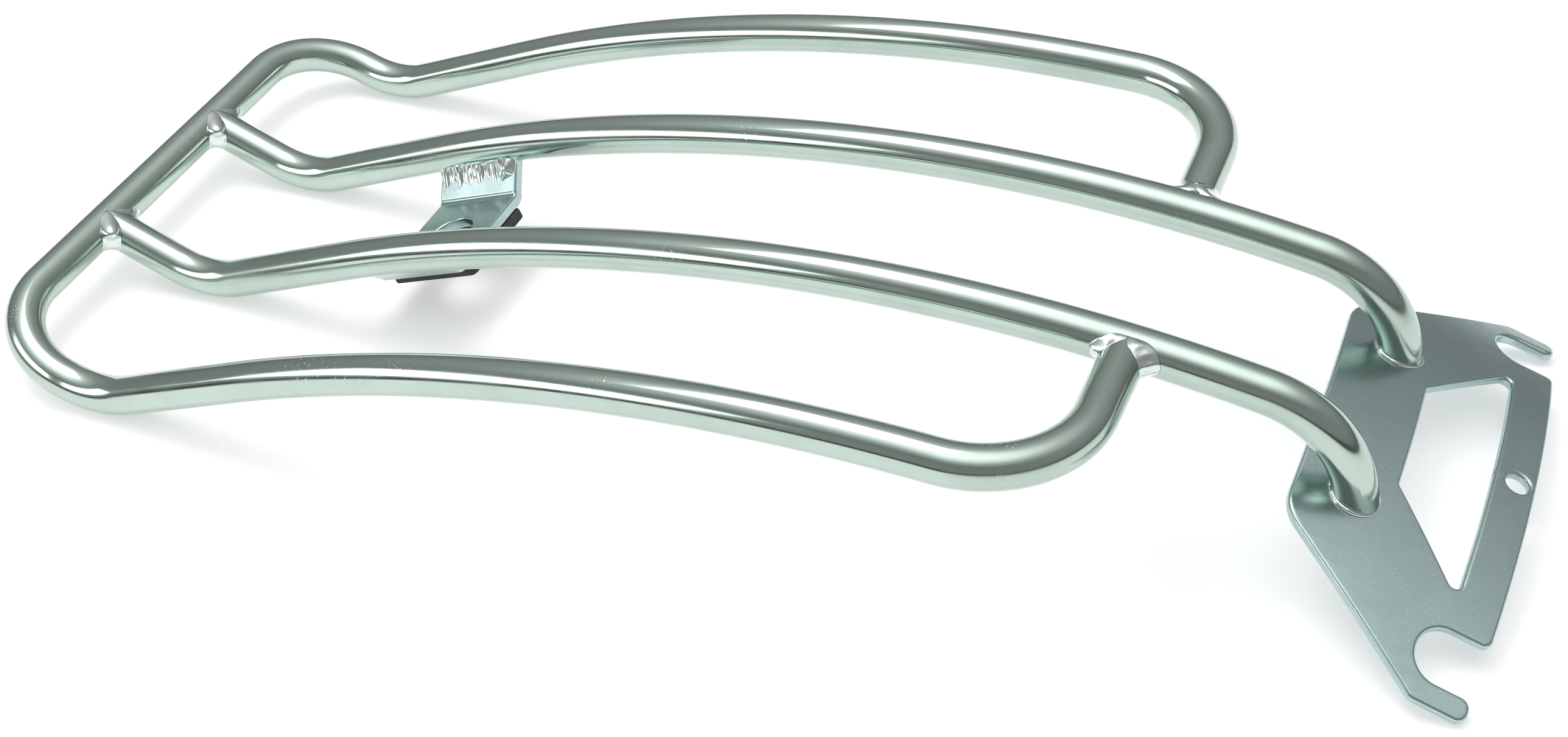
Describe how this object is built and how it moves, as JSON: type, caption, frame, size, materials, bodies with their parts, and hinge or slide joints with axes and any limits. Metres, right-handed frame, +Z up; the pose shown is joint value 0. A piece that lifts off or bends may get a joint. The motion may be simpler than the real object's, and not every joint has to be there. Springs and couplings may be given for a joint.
{
  "type": "motorcycle luggage rack",
  "caption": "Rear luggage rack of bent round bar: arched outer hoop, inner rails, slotted front plate and a padded strap bracket that bolts to the fender.",
  "frame": {"origin": "under the middle of the rack, on the surface that it stands on", "axes": "+X to the front of the motorcycle, where the plate is, +Y to its left, +Z up"},
  "size_m": [0.4722, 0.1992, 0.0732],
  "materials": {
    "bright_bar": "bright plated, with fine pits and dull patches",
    "satin_plate": "plated over a satin sheet surface",
    "weld_bead": "bright plated weld, lumpy",
    "pad_rubber": "matt dark grey"
  },
  "bodies": {
    "root": {"outer_rail": "bright_bar", "inner_rail_left": "bright_bar", "inner_rail_right": "bright_bar", "front_plate": "satin_plate", "fender_bracket": "satin_plate", "fender_pad": "pad_rubber", "rear_weld_left_outer": "weld_bead", "rear_weld_left_inner": "weld_bead", "rear_weld_right_outer": "weld_bead", "rear_weld_right_inner": "weld_bead", "return_weld_left_front": "weld_bead", "return_weld_left_rear": "weld_bead", "return_weld_right_front": "weld_bead", "return_weld_right_rear": "weld_bead", "foot_weld_left": "weld_bead", "foot_weld_right": "weld_bead", "bracket_weld_left": "weld_bead", "bracket_weld_right": "weld_bead"}
  },
  "joints": []
}
